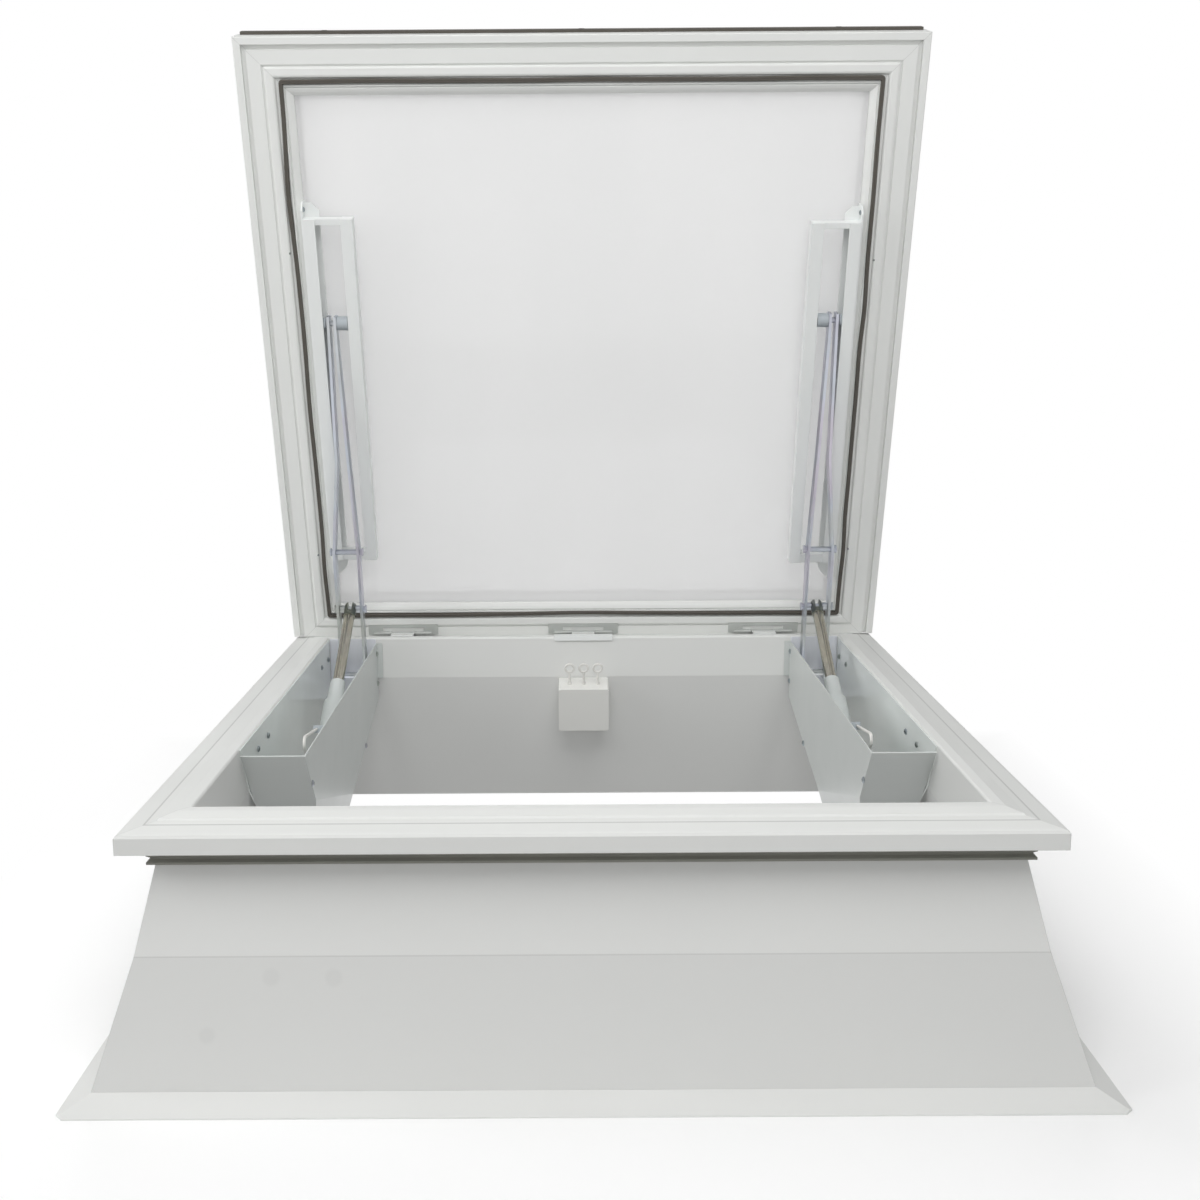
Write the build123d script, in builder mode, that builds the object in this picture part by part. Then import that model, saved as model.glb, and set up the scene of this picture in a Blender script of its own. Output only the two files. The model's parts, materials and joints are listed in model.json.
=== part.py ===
from build123d import *
import math
import os

os.makedirs("parts", exist_ok=True)

# Glazed roof window with a power-opened sash, shown open.
# Origin at the middle of the underside, X along the hinges, Y from the free edge to the hinges, Z up.

# Opening and frame
daylight = 1000.0
inner_half = daylight / 2
frame_width = 77.0
frame_half = inner_half + frame_width
frame_top = 342.0
frame_ridge_top = 338.5
frame_ridge_foot = 336.0
frame_ridge_in = 35.0
frame_edge_top = 331.0
frame_nose = 16.0
frame_lip_bottom = 306.0
frame_lip_thick = 4.0
frame_web_width = 30.0
frame_web_bottom = 262.0
frame_flange_bottom = 318.0
frame_wall = 3.5
frame_rib_low = 296.0

# Upstand walls
curb_neck_top = 302.0
curb_neck_in = 30.5
curb_neck_out = 36.0
curb_shoulder_z = 279.0
curb_shoulder_out = 39.5
curb_seam_z = 170.0
curb_seam_out = 65.0
curb_foot_z = 3.0
curb_foot_inner = 68.0
curb_foot_outer = 112.0
curb_skin = 4.0
curb_rib = 3.0
curb_low_rib_z = 92.0

# Base flange
flange_out = 147.0
flange_rise = 13.5
flange_edge = 2.0
flange_thick = 3.0
flange_corner = 10.0

# Seal under the frame lip
seal_gap = 0.3
seal_lip_out = 48.0
seal_low = 283.0
seal_high = 300.0

# Hinge axis and opening angle
hinge_in = 37.0
hinge_y = frame_half - hinge_in
hinge_z = frame_top + 1.0
open_angle = 74.0

# Sash, measured from the hinge axis along the sash and outward from its inner face
sash_half = frame_half
sash_half_long = sash_half - 6.0
sash_below_axis = 32.5
sash_mid = sash_half_long - sash_below_axis
sash_face = 5.0
sash_depth = 62.0
sash_lip = 12.5
sash_groove = 20.5
sash_groove_deep = 7.0
sash_step = 44.0
sash_step_width = 3.5
sash_second_raise = 2.0
sash_gasket_in = 66.0
sash_gasket_width = 10.0
sash_gasket_deep = 3.0
sash_web_end = 79.0
sash_ledge_end = 94.0
sash_ledge = 6.0
sash_wall = 3.5
sash_tail = 9.2
sash_cap_thick = 14.0

# Hinges
hinge_at = [-358.0, 0.0, 358.0]
hinge_wide = 138.0
hinge_tall = 21.5
hinge_low = -4.5
hinge_pocket = 0.6
hinge_plate = 2.0
hinge_slot_wide = 81.0
hinge_slot_tall = 7.5
hinge_slot_low = 2.7
knuckle_r = 2.4
knuckle_hole_r = 1.3
hinge_pin_r = 1.1
knuckle_part = 34.0
knuckle_gap = 0.5
frame_leaf_wide = 114.0
leaf_mid = frame_leaf_wide - 2 * knuckle_part - 2 * knuckle_gap

# Glazing
pane_thick = 4.0
pane_gap = 36.0
pane_edge = 81.0
bead_end = 93.0
bead_top = 3.0

half_turn = 180.0
quarter_turn = 90.0

sash_plane = Plane(
    origin=(0, hinge_y, hinge_z),
    x_dir=(1, 0, 0),
    z_dir=(0, -math.sin(math.radians(open_angle)), -math.cos(math.radians(open_angle))),
)


def mitred_side(outline, cells, reach):
    """Front side of a square ring: u runs outward from the daylight edge, v upward."""
    with BuildPart() as side:
        with BuildSketch(Plane.YZ):
            with BuildLine():
                Polyline([(-(inner_half + u), v) for u, v in outline], close=True)
            make_face()
            for cell in cells:
                with BuildLine():
                    Polyline([(-(inner_half + u), v) for u, v in cell], close=True)
                make_face(mode=Mode.SUBTRACT)
        extrude(amount=reach, both=True)
        split(bisect_by=Plane(origin=(0, 0, 0), z_dir=(1, -1, 0)), keep=Keep.TOP)
        split(bisect_by=Plane(origin=(0, 0, 0), z_dir=(-1, -1, 0)), keep=Keep.TOP)
    return side.part


def turned(shape, turns, label):
    """The same side moved round the ring by quarter turns and named."""
    piece = Rot(0, 0, quarter_turn * turns) * shape
    piece.label = label
    return piece


def save(shape, label):
    """Names a piece and writes it."""
    shape.label = label
    export_step(shape, f"parts/{label}.step")


# Upstand: battered hollow walls, mitred and welded at the corners
curb_outline = [
    (0, frame_web_bottom),
    (curb_neck_in, frame_web_bottom),
    (curb_neck_in, curb_neck_top),
    (curb_neck_out, curb_neck_top),
    (curb_shoulder_out, curb_shoulder_z),
    (curb_seam_out, curb_seam_z),
    (curb_foot_outer, curb_foot_z + flange_rise),
    (curb_foot_outer, curb_foot_z),
    (curb_foot_inner, curb_foot_z),
]


def curb_inner_at(z):
    """Inner face of the wall at a height."""
    return curb_foot_inner * (frame_web_bottom - z) / (frame_web_bottom - curb_foot_z)


def curb_outer_at(z):
    """Outer face of the wall at a height."""
    if z >= curb_seam_z:
        part = (curb_shoulder_z - z) / (curb_shoulder_z - curb_seam_z)
        return curb_shoulder_out + part * (curb_seam_out - curb_shoulder_out)
    low = curb_foot_z + flange_rise
    part = (curb_seam_z - z) / (curb_seam_z - low)
    return curb_seam_out + part * (curb_foot_outer - curb_seam_out)


curb_cell_tops = [frame_web_bottom - curb_skin, curb_seam_z - curb_rib / 2, curb_low_rib_z - curb_rib / 2]
curb_cell_bottoms = [curb_seam_z + curb_rib / 2, curb_low_rib_z + curb_rib / 2, curb_foot_z + flange_rise]
curb_cells = []
for top, low in zip(curb_cell_tops, curb_cell_bottoms):
    curb_cells.append(
        [
            (curb_inner_at(top) + curb_skin, top),
            (curb_outer_at(top) - curb_skin, top),
            (curb_outer_at(low) - curb_skin, low),
            (curb_inner_at(low) + curb_skin, low),
        ]
    )
curb_reach = inner_half + flange_out
curb_side = mitred_side(curb_outline, curb_cells, curb_reach)
for turns, name in enumerate(["curb_wall_front", "curb_wall_right", "curb_wall_hinge_side", "curb_wall_left"]):
    save(turned(curb_side, turns, name), name)

# Base flange: one ring with a sloped top edge and clipped corners
flange_outline = [
    (curb_foot_inner, 0),
    (flange_out, 0),
    (flange_out, flange_edge),
    (curb_foot_outer, curb_foot_z + flange_rise),
    (curb_foot_outer, flange_thick),
    (curb_foot_inner, flange_thick),
]
flange_side = mitred_side(flange_outline, [], curb_reach)
flange_half = inner_half + flange_out
with BuildPart() as base_flange:
    for turns in range(4):
        add(turned(flange_side, turns, "side"))
    with BuildSketch(Plane.XY.offset(-flange_thick)):
        for sx in (-1, 1):
            for sy in (-1, 1):
                with Locations((sx * flange_half, sy * flange_half)):
                    Rectangle(flange_corner * math.sqrt(2), flange_corner * math.sqrt(2), rotation=45)
    extrude(amount=frame_top, mode=Mode.SUBTRACT)
save(base_flange.part, "base_flange")

# Frame: web inside, wide stepped top and a hanging lip
frame_outline = [
    (0, frame_web_bottom),
    (0, frame_top - 3),
    (1, frame_top - 1),
    (3, frame_top),
    (frame_nose, frame_top),
    (frame_ridge_in - 1, frame_ridge_top),
    (frame_ridge_in + 1, frame_ridge_foot),
    (frame_width - 7, frame_edge_top + 0.6),
    (frame_width - 2.5, frame_edge_top - 0.6),
    (frame_width, frame_edge_top - 4),
    (frame_width, frame_lip_bottom),
    (frame_width - frame_lip_thick, frame_lip_bottom),
    (frame_width - frame_lip_thick, frame_flange_bottom),
    (frame_web_width, frame_flange_bottom),
    (frame_web_width, frame_web_bottom),
]
frame_cells = [
    [
        (frame_wall, frame_web_bottom + frame_wall),
        (frame_wall, frame_rib_low),
        (frame_web_width - frame_wall, frame_rib_low),
        (frame_web_width - frame_wall, frame_web_bottom + frame_wall),
    ],
    [
        (frame_wall, frame_rib_low + 3),
        (frame_wall, frame_top - 5),
        (frame_nose, frame_top - frame_wall),
        (frame_web_width - frame_wall, frame_top - 5.6),
        (frame_web_width - frame_wall, frame_rib_low + 3),
    ],
    [
        (frame_web_width, frame_flange_bottom + frame_wall),
        (frame_web_width, frame_ridge_foot - frame_wall),
        (frame_ridge_in + 1, frame_ridge_foot - frame_wall),
        (frame_width - 9, frame_edge_top - frame_wall),
        (frame_width - 9, frame_flange_bottom + frame_wall),
    ],
]
frame_side = mitred_side(frame_outline, frame_cells, frame_half + frame_width)
for turns, name in enumerate(["frame_front", "frame_right", "frame_hinge_side", "frame_left"]):
    save(turned(frame_side, turns, name), name)


def seal_seat_at(z):
    """Back of the seal just off the upstand's neck at a height."""
    part = (curb_neck_top - z) / (curb_neck_top - curb_shoulder_z)
    return curb_neck_out + part * (curb_shoulder_out - curb_neck_out) + seal_gap


# Seal strip with two lips under the frame's overhang
seal_outline = [
    (seal_seat_at(seal_low + 1), seal_low + 1),
    (seal_lip_out - 2, seal_low + 1),
    (seal_lip_out, seal_low),
    (seal_lip_out, seal_low + 3),
    (seal_lip_out - 4, seal_low + 6),
    (seal_lip_out - 4, seal_low + 8),
    (seal_lip_out, seal_low + 11),
    (seal_lip_out, seal_low + 14),
    (seal_lip_out - 2, seal_high),
    (seal_seat_at(seal_high), seal_high),
]
seal_side = mitred_side(seal_outline, [], frame_half)
with BuildPart() as frame_seal:
    for turns in range(4):
        add(turned(seal_side, turns, "side"))
save(frame_seal.part, "frame_seal")


def sash_side(outline, cells, half, other_half):
    """Side of the sash ring before it is turned up: e inward from the outer edge, v away from the inner face."""
    corner = other_half - half
    with BuildPart() as side:
        with BuildSketch(Plane.YZ):
            with BuildLine():
                Polyline([(-(half - e), -(sash_face + v)) for e, v in outline], close=True)
            make_face()
            for cell in cells:
                with BuildLine():
                    Polyline([(-(half - e), -(sash_face + v)) for e, v in cell], close=True)
                make_face(mode=Mode.SUBTRACT)
        extrude(amount=other_half + sash_lip, both=True)
        split(bisect_by=Plane(origin=(0, corner, 0), z_dir=(1, -1, 0)), keep=Keep.TOP)
        split(bisect_by=Plane(origin=(0, corner, 0), z_dir=(-1, -1, 0)), keep=Keep.TOP)
    return side.part


def sash_ring(outline, cells=()):
    """The four sides of a ring round the sash: hinge side, right, free side, left."""
    rail = sash_side(outline, cells, sash_half_long, sash_half)
    stile = sash_side(outline, cells, sash_half, sash_half_long)
    return [rail, turned(stile, 1, "right"), turned(rail, 2, "free"), turned(stile, 3, "left")]


def on_sash(shape):
    """Moves a piece drawn round the sash centre to the open sash."""
    return sash_plane.location * Pos(0, sash_mid, 0) * shape


# Sash: mitred hollow rails and stiles
sash_second_end = sash_gasket_in - 2.5
sash_outline = [
    (0, 1),
    (1, 0),
    (sash_lip, 0),
    (sash_lip, sash_groove_deep),
    (sash_groove, sash_groove_deep),
    (sash_groove, 0),
    (sash_step, 0),
    (sash_step, 2),
    (sash_step + sash_step_width, 2),
    (sash_step + sash_step_width, -1),
    (sash_step + sash_step_width + 3, -sash_second_raise),
    (sash_second_end - 3, -sash_second_raise),
    (sash_second_end, -1),
    (sash_gasket_in, sash_gasket_deep),
    (sash_gasket_in + sash_gasket_width, sash_gasket_deep),
    (sash_gasket_in + sash_gasket_width, 0),
    (sash_web_end, 0),
    (sash_web_end, sash_depth - sash_ledge),
    (sash_ledge_end, sash_depth - sash_ledge),
    (sash_ledge_end, sash_depth),
    (0, sash_depth),
]
sash_cell_top = 11.0
sash_mid_web = 40.0
sash_cells = [
    [
        (sash_wall, sash_cell_top),
        (sash_mid_web, sash_cell_top),
        (sash_mid_web, sash_depth - sash_wall),
        (sash_wall, sash_depth - sash_wall),
    ],
    [
        (sash_mid_web + 3, sash_cell_top - 4),
        (sash_web_end - sash_wall, sash_cell_top - 4),
        (sash_web_end - sash_wall, sash_depth - sash_ledge - sash_wall),
        (sash_mid_web + 3, sash_depth - sash_ledge - sash_wall),
    ],
]
tail_y = -sash_mid - sash_tail
sash_names = ["sash_rail_hinge_side", "sash_stile_right", "sash_rail_free", "sash_stile_left"]
for side, name in zip(sash_ring(sash_outline, sash_cells), sash_names):
    with BuildPart() as bar:
        add(side)
        with BuildSketch(Plane.XY.offset(-sash_face - sash_depth + sash_cap_thick)):
            with Locations((0, tail_y - sash_half / 2)):
                Rectangle(4 * sash_half, sash_half)
        extrude(amount=sash_depth, mode=Mode.SUBTRACT)
        if name == "sash_rail_hinge_side":
            pocket_high = hinge_low + hinge_tall + hinge_pocket
            with BuildSketch(Plane.XY.offset(-sash_face)):
                with Locations([(x, pocket_high / 2 - sash_mid) for x in hinge_at]):
                    Rectangle(hinge_wide + 2 * hinge_pocket, pocket_high)
            extrude(amount=sash_face, mode=Mode.SUBTRACT)
    save(on_sash(bar.part), name)

# Gasket ring in the sash face
gasket_outline = [
    (sash_gasket_in + 0.4, sash_gasket_deep),
    (sash_gasket_in + 0.4, -2),
    (sash_gasket_in + 2, -5),
    (sash_gasket_in + sash_gasket_width - 2, -5),
    (sash_gasket_in + sash_gasket_width - 0.4, -2),
    (sash_gasket_in + sash_gasket_width - 0.4, sash_gasket_deep),
]
with BuildPart() as gasket:
    for side in sash_ring(gasket_outline):
        add(side)
save(on_sash(gasket.part), "sash_gasket")

# Double glazing: two panes, a spacer bar and the beads that hold them
glass_low = sash_depth - sash_ledge
glass_high = glass_low - 2 * pane_thick - pane_gap
pane_wide = 2 * (sash_half - pane_edge)
pane_long = 2 * (sash_half_long - pane_edge)
for name, level in (("outer_pane", glass_low), ("inner_pane", glass_low - pane_thick - pane_gap)):
    with BuildPart() as pane:
        with BuildSketch(Plane.XY.offset(-sash_face - level)):
            Rectangle(pane_wide, pane_long)
        extrude(amount=pane_thick)
    save(on_sash(pane.part), name)
spacer_in = pane_edge + 2
spacer_out = pane_edge + 9
with BuildPart() as spacer:
    with BuildSketch(Plane.XY.offset(-sash_face - glass_low + pane_thick)):
        Rectangle(2 * (sash_half - spacer_in), 2 * (sash_half_long - spacer_in))
        Rectangle(2 * (sash_half - spacer_out), 2 * (sash_half_long - spacer_out), mode=Mode.SUBTRACT)
    extrude(amount=pane_gap)
save(on_sash(spacer.part), "pane_spacer")
bead_outline = [
    (sash_web_end, bead_top),
    (sash_web_end + 3, bead_top - 2),
    (sash_web_end + 8, bead_top),
    (bead_end, bead_top + 4),
    (bead_end, glass_high),
    (bead_end - 3, glass_high),
    (bead_end - 3, bead_top + 7),
    (sash_web_end + 3, bead_top + 4),
    (sash_web_end + 3, glass_high),
    (sash_web_end, glass_high),
]
bead_names = ["bead_hinge_side", "bead_right", "bead_free", "bead_left"]
for side, name in zip(sash_ring(bead_outline), bead_names):
    save(on_sash(side), name)

# Rubber drip edge along the free edge of the sash
drip_half = sash_half - 6.5
drip_out = 5.0
drip_clip_high = 0.6
drip_clip_at = [139.5 - drip_half, 0.0, drip_half - 139.5]
with BuildPart() as drip:
    with BuildSketch(Plane.XY.offset(-sash_face - sash_depth + 6)):
        with Locations((0, sash_half_long + drip_out / 2)):
            Rectangle(2 * drip_half, drip_out)
    extrude(amount=18)
    with BuildSketch(Plane.XY.offset(-sash_face - sash_depth + 10)):
        with Locations([(x, sash_half_long + drip_out + drip_clip_high / 2) for x in drip_clip_at]):
            Rectangle(9, drip_clip_high)
    extrude(amount=10)
save(on_sash(drip.part), "drip_edge")

# Hinges: a slotted leaf on the sash, a leaf on the frame and a pin
with BuildPart() as sash_leaves:
    for x in hinge_at:
        with BuildSketch(Plane.XY.offset(-sash_face)):
            with Locations((x, hinge_low + hinge_tall / 2)):
                Rectangle(hinge_wide, hinge_tall)
            with Locations((x, hinge_slot_low + hinge_slot_tall / 2)):
                Rectangle(hinge_slot_wide, hinge_slot_tall, mode=Mode.SUBTRACT)
            with Locations((x, 0)):
                Rectangle(leaf_mid + 2 * knuckle_gap, 2 * (knuckle_r + knuckle_gap), mode=Mode.SUBTRACT)
        extrude(amount=hinge_plate)
        for side in (-1, 1):
            start = x + side * (frame_leaf_wide / 2 - knuckle_part / 2)
            with BuildSketch(Plane.YZ.offset(start - knuckle_part / 2)):
                Circle(knuckle_r)
                with Locations((0, -(sash_face - hinge_plate / 2) / 2)):
                    Rectangle(2 * knuckle_r, sash_face - hinge_plate / 2)
            extrude(amount=knuckle_part)
            with BuildSketch(Plane.YZ.offset(start - knuckle_part / 2)):
                Circle(knuckle_hole_r)
            extrude(amount=knuckle_part, mode=Mode.SUBTRACT)
save(sash_plane.location * sash_leaves.part, "hinge_sash_leaves")

leaf_depths = [frame_ridge_in - 17, frame_ridge_in + 1, frame_ridge_in - 17]
with BuildPart() as frame_leaves:
    for x, depth in zip(hinge_at, leaf_depths):
        leaf_top = frame_top + hinge_plate + 0.3
        with BuildSketch(Plane.YZ.offset(x - leaf_mid / 2)):
            with Locations((hinge_y, hinge_z)):
                Circle(knuckle_r)
            with BuildLine():
                Polyline(
                    [
                        (hinge_y, hinge_z + knuckle_r),
                        (hinge_y, hinge_z + knuckle_r - hinge_plate),
                        (inner_half + frame_ridge_in - 12, leaf_top - hinge_plate),
                        (inner_half + frame_ridge_in - depth, leaf_top - hinge_plate),
                        (inner_half + frame_ridge_in - depth, leaf_top),
                        (inner_half + frame_ridge_in - 12, leaf_top),
                    ],
                    close=True,
                )
            make_face()
            with Locations((hinge_y, hinge_z)):
                Circle(knuckle_hole_r, mode=Mode.SUBTRACT)
        extrude(amount=leaf_mid)
    with BuildSketch(Plane.YZ.offset(-frame_leaf_wide / 2)):
        with BuildLine():
            Polyline(
                [
                    (inner_half + frame_nose, frame_top + 0.3),
                    (inner_half - 1, frame_top + 0.3),
                    (inner_half - 1, frame_top - 7),
                    (inner_half - 3, frame_top - 7),
                    (inner_half - 3, frame_top + hinge_plate + 0.3),
                    (inner_half + frame_nose, frame_top + hinge_plate + 0.3),
                ],
                close=True,
            )
        make_face()
    extrude(amount=frame_leaf_wide)
save(frame_leaves.part, "hinge_frame_leaves")

with BuildPart() as hinge_pins:
    for x in hinge_at:
        with BuildSketch(Plane.YZ.offset(x - frame_leaf_wide / 2 - 2)):
            with Locations((hinge_y, hinge_z)):
                Circle(hinge_pin_r)
        extrude(amount=frame_leaf_wide + 4)
save(hinge_pins.part, "hinge_pins")

# Guide rails on the sash stiles: an outer and an inner channel joined by end bars
mirror_plane = Plane.YZ
rail_low = 161.0
rail_high = 806.0
left_raise = 12.0
rail_back = -sash_face + 5
rail_deep = 26.0
rail_wall = 2.5
plate_x = sash_half - bead_end
plate_thick = 3.0
plate_low = rail_low - 42.0
plate_high = rail_high + 26.0
plate_off_pane = 0.3
outer_bar_x = plate_x - plate_thick
outer_bar_wide = 25.5
outer_mouth = 5.0
rail_span = 85.0
inner_bar_x = outer_bar_x - rail_span
inner_bar_wide = 20.5
end_bar = 10.0
low_end_bar = 18.0
plate_back = -sash_face - glass_high + plate_off_pane
base_mouth_x = outer_bar_x - outer_bar_wide
base_low = rail_low - 40.0
base_foot_x = outer_bar_x - 7.0
base_step = 2.0
base_mouth_s = rail_low - 9.0
base_round = 34.0
base_high = rail_high + 24.0
base_cut = 12.0


def both_rails(shape):
    """The right-hand rail and its mirror image, which is screwed on a little higher, turned up with the sash."""
    left = Pos(0, left_raise, 0) * mirror(shape, about=mirror_plane)
    with BuildPart() as pair:
        add(shape)
        add(left)
    return sash_plane.location * pair.part


with BuildPart() as outer_bars:
    with BuildSketch(Plane.YZ.offset(outer_bar_x)):
        with BuildLine():
            Polyline(
                [
                    (plate_low, plate_back),
                    (plate_low, rail_back + 6),
                    (plate_low + 14, rail_back + rail_deep - 4),
                    (plate_high - 12, rail_back + rail_deep - 4),
                    (plate_high, rail_back + 8),
                    (plate_high, plate_back),
                ],
                close=True,
            )
        make_face()
    extrude(amount=plate_thick)
    with BuildSketch(Plane.XY.offset(rail_back)) as base_plate:
        with BuildLine():
            Line((outer_bar_x, base_low), (base_foot_x, base_low))
            Line((base_foot_x, base_low), (base_foot_x, base_low + base_step))
            RadiusArc((base_foot_x, base_low + base_step), (base_mouth_x, base_mouth_s), base_round)
            Line((base_mouth_x, base_mouth_s), (base_mouth_x, base_high - base_cut))
            Line((base_mouth_x, base_high - base_cut), (base_mouth_x + base_cut, base_high))
            Line((base_mouth_x + base_cut, base_high), (outer_bar_x, base_high))
            Line((outer_bar_x, base_high), (outer_bar_x, base_low))
        make_face()
    extrude(amount=rail_wall)
    with BuildSketch(Plane.XZ.offset(-rail_high)):
        with Locations((outer_bar_x - outer_bar_wide / 2, rail_back + rail_deep / 2)):
            Rectangle(outer_bar_wide, rail_deep)
        with Locations((outer_bar_x - outer_bar_wide / 2 - rail_wall, rail_back + rail_deep / 2)):
            Rectangle(outer_bar_wide, rail_deep - 2 * rail_wall, mode=Mode.SUBTRACT)
        with Locations((outer_bar_x - outer_bar_wide + outer_mouth / 2, rail_back + rail_deep - rail_wall / 2)):
            Rectangle(outer_mouth, rail_wall, mode=Mode.SUBTRACT)
    extrude(amount=rail_high - rail_low)
save(both_rails(outer_bars.part), "guide_outer_bars")

with BuildPart() as inner_bars:
    with BuildSketch(Plane.XZ.offset(-rail_high)):
        with Locations((inner_bar_x + inner_bar_wide / 2, rail_back + rail_deep / 2)):
            Rectangle(inner_bar_wide, rail_deep)
        with Locations((inner_bar_x + inner_bar_wide / 2 + rail_wall, rail_back + rail_deep / 2)):
            Rectangle(inner_bar_wide, rail_deep - 2 * rail_wall, mode=Mode.SUBTRACT)
    extrude(amount=rail_high - rail_low)
save(both_rails(inner_bars.part), "guide_inner_bars")

end_from = inner_bar_x + rail_wall
end_to = outer_bar_x - rail_wall
with BuildPart() as end_bars:
    with BuildSketch(Plane.XY.offset(rail_back + rail_wall)):
        for start, tall in ((rail_low, low_end_bar), (rail_high - end_bar, end_bar)):
            with Locations(((end_from + end_to) / 2, start + tall / 2)):
                Rectangle(end_to - end_from, tall)
    extrude(amount=rail_deep - 2 * rail_wall)
save(both_rails(end_bars.part), "guide_end_bars")

# Arm pairs: a roller pin runs in the rails, the arms spread at the cross pin and pivot in the housing
pivot_y = inner_half - 30.0
pivot_z = 275.0
roller_s = 633.0
roller_n = rail_back + rail_deep / 2
roller_point = sash_plane.location * Pos(0, roller_s, roller_n)
roller_y = roller_point.position.Y
roller_z = roller_point.position.Z
arm_length = math.hypot(roller_y - pivot_y, roller_z - pivot_z)
arm_lean = math.atan2(pivot_y - roller_y, roller_z - pivot_z)
arm_plane = Plane(
    origin=(0, pivot_y, pivot_z),
    x_dir=(1, 0, 0),
    z_dir=(0, -math.cos(arm_lean), -math.sin(arm_lean)),
)
across_arm = Plane(
    origin=arm_plane.origin,
    x_dir=(0, math.cos(arm_lean), math.sin(arm_lean)),
    z_dir=(1, 0, 0),
)
arm_width = 26.0
arm_thick = 5.0
arm_outer_low = inner_half - 31.0
arm_inner_low = arm_outer_low - 45.0
arm_outer_top = outer_bar_x - 29.0
arm_inner_top = outer_bar_x - 41.0
cross_at = 253.0
clevis_at = 138.0
arm_straight = 30.0
arm_bend_at = 430.0
arm_outer_mid = arm_outer_low - 15.5
arm_inner_mid = arm_inner_low + 8.0
pivot_pin_r = 6.0
pin_clear = 0.2
roller_pin_r = 5.0
cross_pin_r = 5.0
clevis_pin_r = 5.0


def arm(low_x, mid_x, top_x):
    """One arm as a bent flat bar with its holes, on the right-hand side."""
    with BuildPart() as bar:
        with BuildSketch(arm_plane):
            with BuildLine():
                Polyline(
                    [
                        (low_x - arm_thick / 2, -arm_width / 2),
                        (low_x - arm_thick / 2, cross_at),
                        (mid_x - arm_thick / 2, arm_bend_at),
                        (top_x - arm_thick / 2, arm_length - arm_straight),
                        (top_x - arm_thick / 2, arm_length + arm_width / 2),
                        (top_x + arm_thick / 2, arm_length + arm_width / 2),
                        (top_x + arm_thick / 2, arm_length - arm_straight),
                        (mid_x + arm_thick / 2, arm_bend_at),
                        (low_x + arm_thick / 2, cross_at),
                        (low_x + arm_thick / 2, -arm_width / 2),
                    ],
                    close=True,
                )
            make_face()
        extrude(amount=arm_width / 2, both=True)
        with BuildSketch(across_arm):
            with Locations((0, 0)):
                Circle(pivot_pin_r + pin_clear)
            with Locations((0, clevis_at)):
                Circle(clevis_pin_r + pin_clear)
            with Locations((0, cross_at)):
                Circle(cross_pin_r + pin_clear)
            with Locations((0, arm_length)):
                Circle(roller_pin_r + pin_clear)
        extrude(amount=sash_half, mode=Mode.SUBTRACT)
        mirror(about=mirror_plane)
    return bar.part


save(arm(arm_outer_low, arm_outer_mid, arm_outer_top), "arms_outer")
save(arm(arm_inner_low, arm_inner_mid, arm_inner_top), "arms_inner")


def cross_pin(at, radius, low_x, high_x, head_r, head):
    """A headed pin across the arms at a distance from the pivot, both sides."""
    with BuildPart() as pin:
        with BuildSketch(across_arm.offset(low_x)):
            with Locations((0, at)):
                Circle(radius)
        extrude(amount=high_x - low_x)
        for edge in (low_x - head, high_x):
            with BuildSketch(across_arm.offset(edge)):
                with Locations((0, at)):
                    Circle(head_r)
            extrude(amount=head)
        mirror(about=mirror_plane)
    return pin.part


pin_over = 3.3
pin_low = arm_inner_low - arm_thick / 2 - pin_over
pin_high = arm_outer_low + arm_thick / 2 + pin_over
save(cross_pin(cross_at, cross_pin_r, pin_low, pin_high, cross_pin_r + 2.5, 2.5), "cross_pins")
ear_thick = 4.0
ear_tall = 44.0
ear_gap = 0.4
ear_low = arm_inner_low - arm_thick / 2 - ear_gap - ear_thick
ear_high = arm_outer_low + arm_thick / 2 + ear_gap
pivot_low = ear_low - 0.3
pivot_high = ear_high + ear_thick + 0.3
save(cross_pin(0, pivot_pin_r, pivot_low, pivot_high, pivot_pin_r + 3, 3), "pivot_pins")

wheel_r = rail_deep / 2 - rail_wall - 0.5
wheel_inner = (inner_bar_x + rail_wall + 1.5, inner_bar_x + inner_bar_wide - 1.5)
wheel_outer = (outer_bar_x - outer_bar_wide + 1.5, outer_bar_x - rail_wall - 1.5)
roller_pin_low = inner_bar_x + rail_wall + 1.0
roller_pin_high = outer_bar_x - rail_wall - 1.0
with BuildPart() as roller_pins:
    with BuildSketch(across_arm.offset(roller_pin_low)):
        with Locations((0, arm_length)):
            Circle(roller_pin_r)
    extrude(amount=roller_pin_high - roller_pin_low)
    mirror(about=mirror_plane)
save(roller_pins.part, "roller_pins")


def ring_on_roller(low_x, high_x, radius):
    """A turned sleeve round the roller pin on the right-hand side."""
    with BuildPart() as ring:
        with BuildSketch(across_arm.offset(low_x)):
            with Locations((0, arm_length)):
                Circle(radius)
                Circle(roller_pin_r + pin_clear, mode=Mode.SUBTRACT)
        extrude(amount=high_x - low_x)
    return ring.part


with BuildPart() as wheels:
    add(ring_on_roller(wheel_inner[0], wheel_inner[1], wheel_r))
    add(ring_on_roller(wheel_outer[0], wheel_outer[1], wheel_r))
    mirror(about=mirror_plane)
save(wheels.part, "roller_wheels")
bush_r = 12.5
with BuildPart() as bushes:
    add(ring_on_roller(inner_bar_x + inner_bar_wide + 1.0, arm_inner_top - arm_thick / 2 - 0.3, bush_r))
    mirror(about=mirror_plane)
save(bushes.part, "roller_bushes")

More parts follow.
